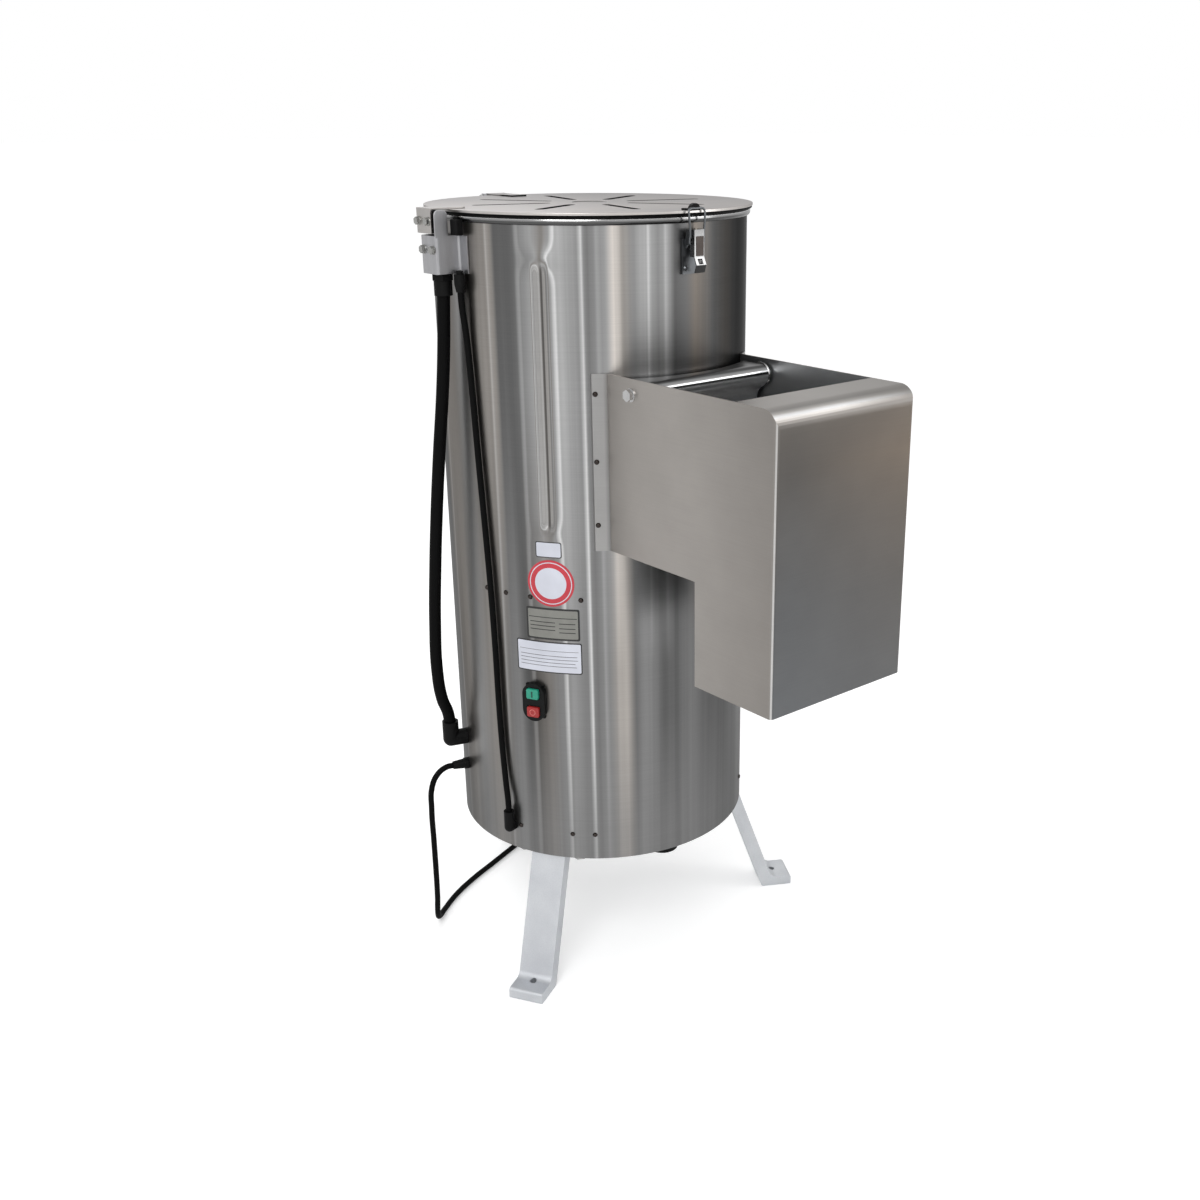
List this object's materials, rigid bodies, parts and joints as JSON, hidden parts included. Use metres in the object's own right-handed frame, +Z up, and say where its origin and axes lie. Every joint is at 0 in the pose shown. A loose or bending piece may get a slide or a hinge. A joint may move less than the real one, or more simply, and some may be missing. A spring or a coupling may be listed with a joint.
{
  "type": "electric potato peeler",
  "caption": "Floor-standing batch peeler for potatoes: a steel drum on three legs with a vented hinged lid, a swinging discharge door in a chute, and a belt-driven abrasive disc inside.",
  "frame": {"origin": "on the drum's axis, in the plane of the floor under the three feet", "axes": "+Z up along the drum's axis, the discharge chute faces -Y, +X is to the left of someone who stands at the chute and faces the drum"},
  "size_m": [0.5142, 0.7505, 1.018],
  "materials": {
    "drum_steel": "brushed horizontally, bright",
    "lid_steel": "satin",
    "guard_steel": "fine brushed",
    "door_steel": "fine brushed",
    "bright_steel": "polished",
    "bracket_steel": "satin",
    "fasteners": "satin",
    "leg_casting": "cast, sand-blasted",
    "disc_casting": "turned",
    "base_steel": "semi-matt grey",
    "housing_casting": "cast, matt",
    "pulley_iron": "turned, dark",
    "motor_paint": "semi-matt blue-grey",
    "rotor_steel": "ground",
    "abrasive": "coarse grit",
    "black_rubber": "matt",
    "black_plastic": "matt",
    "switch_plastic": "gloss",
    "start_green": "gloss",
    "stop_red": "gloss",
    "contactor_plastic": "matt",
    "inlet_brass": "nickel plated, satin",
    "label_film": "satin"
  },
  "bodies": {
    "frame": {"drum_casing": "drum_steel", "chamber_floor": "drum_steel", "base_plate": "base_steel", "leg_front_left": "leg_casting", "leg_front_right": "leg_casting", "leg_rear": "leg_casting", "leg_bolts": "fasteners", "casing_screws": "fasteners", "chute_guard": "guard_steel", "chute_floor": "guard_steel", "guard_screws": "fasteners", "door_rod": "bright_steel", "rod_bolts": "bright_steel", "lid_hinge_bracket": "bracket_steel", "lid_hinge_pin": "bright_steel", "latch_base": "bright_steel", "interlock_bracket": "bracket_steel", "interlock_sensor": "black_plastic", "interlock_screws": "fasteners", "lid_switch": "black_plastic", "cable_glands": "black_plastic", "sensor_conduit": "black_rubber", "sensor_cable": "black_rubber", "switch_housing": "switch_plastic", "contactor": "contactor_plastic", "lip_seal": "black_rubber", "bearing_housing": "housing_casting", "shaft_bearings": "fasteners", "drive_belt": "black_rubber", "motor_plate": "base_steel", "motor_housing": "motor_paint", "drain_pipe": "black_plastic", "water_inlet": "inlet_brass", "label_plates": "label_film", "power_cord_gland": "black_plastic", "power_cord": "black_rubber", "power_cord_coil": "black_rubber", "power_plug": "black_plastic"},
    "lid": {"lid_plate": "lid_steel", "lid_gasket": "black_rubber", "lid_hinge_leaf": "lid_steel", "actuator_bracket": "lid_steel", "actuator_magnet": "black_plastic", "actuator_screws": "fasteners", "latch_catch": "black_plastic"},
    "door": {"door_shell": "door_steel", "door_seal": "black_rubber", "door_handle": "bright_steel"},
    "latch_lever": {"latch_lever": "bright_steel"},
    "latch_bail": {"latch_bail": "bright_steel"},
    "start_button": {"start_button": "start_green"},
    "stop_button": {"stop_button": "stop_red"},
    "disc": {"abrasive_disc": "disc_casting", "abrasive_coating": "abrasive", "main_shaft": "bright_steel", "disc_nut": "bright_steel", "large_pulley": "pulley_iron"},
    "motor_shaft": {"motor_rotor": "rotor_steel", "small_pulley": "pulley_iron"}
  },
  "joints": [
    {"name": "lid_hinge", "type": "hinge", "parent": "frame", "child": "lid", "pos_m": [0, 0.22, 1.006], "axis": [-1, 0, 0], "range_deg": [0, 100]},
    {"name": "door_hinge", "type": "hinge", "parent": "frame", "child": "door", "pos_m": [0, -0.215, 0.809], "axis": [-1, 0, 0], "range_deg": [0, 70]},
    {"name": "latch_lever_hinge", "type": "hinge", "parent": "frame", "child": "latch_lever", "pos_m": [-0.003, -0.2085, 0.985], "axis": [-1, 0, 0], "range_deg": [0, 150]},
    {"name": "latch_bail_hinge", "type": "hinge", "parent": "latch_lever", "child": "latch_bail", "pos_m": [-0.003, -0.21, 0.972], "axis": [-1, 0, 0], "range_deg": [-150, 0]},
    {"name": "start_push", "type": "slide", "parent": "frame", "child": "start_button", "axis": [0.8813, 0.4726, 0], "range_m": [0, 0.003], "stiffness_N_per_m": 600},
    {"name": "stop_push", "type": "slide", "parent": "frame", "child": "stop_button", "axis": [0.8813, 0.4726, 0], "range_m": [0, 0.003], "stiffness_N_per_m": 600},
    {"name": "disc_spin", "type": "hinge", "parent": "frame", "child": "disc", "pos_m": [0, 0, 0.59], "axis": [0, 0, 1], "continuous": true},
    {"name": "motor_spin", "type": "hinge", "parent": "frame", "child": "motor_shaft", "pos_m": [0, 0.131, 0.232], "axis": [0, 0, 1], "continuous": true}
  ],
  "couplings": [
    {"joint": "motor_spin", "follows": "disc_spin", "ratio": 6},
    {"joint": "latch_bail_hinge", "follows": "latch_lever_hinge", "ratio": -1}
  ]
}
